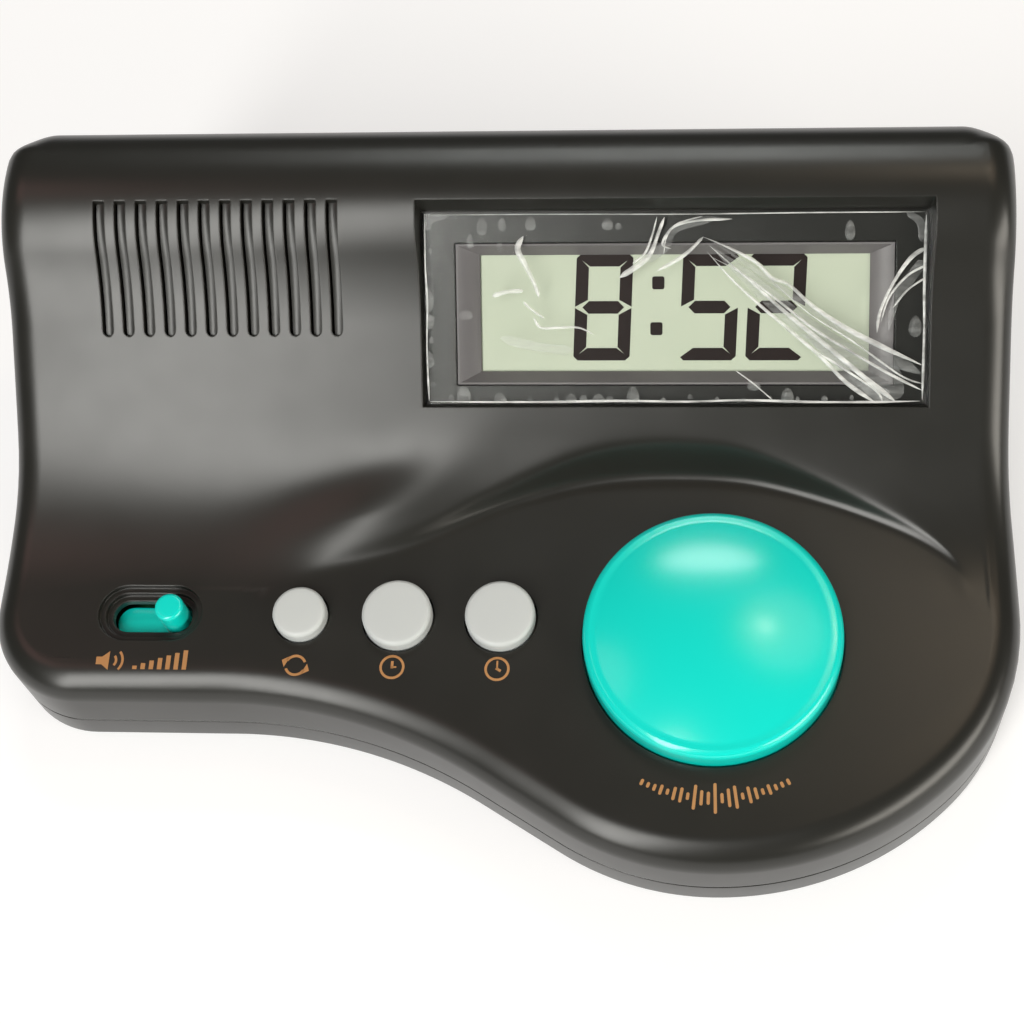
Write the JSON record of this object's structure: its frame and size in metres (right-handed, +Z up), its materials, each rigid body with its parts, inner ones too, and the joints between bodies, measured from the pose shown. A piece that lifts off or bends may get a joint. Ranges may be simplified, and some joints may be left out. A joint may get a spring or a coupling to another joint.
{
  "type": "talking clock",
  "caption": "Wedge-shaped desk clock with a sloping display window, a speaker grille, small keys, a volume slider and a large round speech button on a front lobe.",
  "frame": {"origin": "middle of the outline's bounding box on the surface that the feet stand on", "axes": "+X to the viewer's right, +Y to the back, +Z up"},
  "size_m": [0.1424, 0.0966, 0.0486],
  "materials": {
    "case_black": "satin",
    "lens_clear": "glossy clear plastic",
    "film_clear": "glossy, wrinkled",
    "frame_grey": "matte",
    "lcd_green": "matte polarizer",
    "segment_dark": "matte",
    "zebra_pink": "matte",
    "board_green": "satin",
    "steel": "bright",
    "cable_grey": "satin",
    "epoxy_black": "matte",
    "capacitor_blue": "gloss",
    "switch_grey": "matte",
    "button_teal": "gloss",
    "key_grey": "matte",
    "dome_rubber": "matte",
    "cone_black": "matte paper",
    "magnet_grey": "zinc plated",
    "cloth_black": "woven",
    "wire_red": "satin",
    "wire_black": "satin",
    "cell_gold": "gloss sleeve, plain",
    "foot_rubber": "matte"
  },
  "bodies": {
    "case": {"top_case": "case_black", "bottom_case": "case_black", "display_lens": "lens_clear", "protective_film": "film_clear", "lcd_frame": "frame_grey", "lcd_glass": "lcd_green", "lcd_segments": "segment_dark", "zebra_strips": "zebra_pink", "display_board": "board_green", "display_screws": "steel", "ribbon_cable": "cable_grey", "main_board": "board_green", "board_screws": "steel", "voice_chip": "epoxy_black", "crystal": "steel", "capacitor": "capacitor_blue", "board_parts": "epoxy_black", "talk_switch": "switch_grey", "talk_spring": "steel", "mode_dome": "dome_rubber", "hour_dome": "dome_rubber", "minute_dome": "dome_rubber", "volume_switch": "steel", "speaker_frame": "steel", "speaker_cone": "cone_black", "speaker_magnet": "magnet_grey", "speaker_clamps": "epoxy_black", "dust_cloth": "cloth_black", "speaker_wires": "wire_red", "battery_wires": "wire_black", "cell_front": "cell_gold", "cell_back": "cell_gold", "battery_springs": "steel", "contact_bridge": "steel", "contact_terminals": "steel", "case_screws": "steel", "rubber_feet": "foot_rubber"},
    "talk": {"talk_button": "button_teal"},
    "mode": {"mode_button": "key_grey"},
    "hour": {"hour_button": "key_grey"},
    "minute": {"minute_button": "key_grey"},
    "volume": {"volume_slider": "button_teal", "volume_lever": "switch_grey"},
    "door": {"battery_door": "case_black"}
  },
  "joints": [
    {"name": "talk_press", "type": "slide", "parent": "case", "child": "talk", "axis": [0, 0.0523, -0.9986], "range_m": [0, 0.0022], "stiffness_N_per_m": 300, "springref_m": -0.001, "deforming": ["talk_spring"]},
    {"name": "mode_press", "type": "slide", "parent": "case", "child": "mode", "axis": [0, 0.0523, -0.9986], "range_m": [0, 0.001], "stiffness_N_per_m": 400, "springref_m": -0.0005, "deforming": ["mode_dome"]},
    {"name": "hour_press", "type": "slide", "parent": "case", "child": "hour", "axis": [0, 0.0523, -0.9986], "range_m": [0, 0.001], "stiffness_N_per_m": 400, "springref_m": -0.0005, "deforming": ["hour_dome"]},
    {"name": "minute_press", "type": "slide", "parent": "case", "child": "minute", "axis": [0, 0.0523, -0.9986], "range_m": [0, 0.001], "stiffness_N_per_m": 400, "springref_m": -0.0005, "deforming": ["minute_dome"]},
    {"name": "volume_slide", "type": "slide", "parent": "case", "child": "volume", "axis": [-1, 0, 0], "range_m": [0, 0.0048]},
    {"name": "door_hinge", "type": "hinge", "parent": "case", "child": "door", "pos_m": [-0.004, 0.0326, 0.002], "axis": [1, 0, 0], "range_deg": [0, 80]}
  ]
}
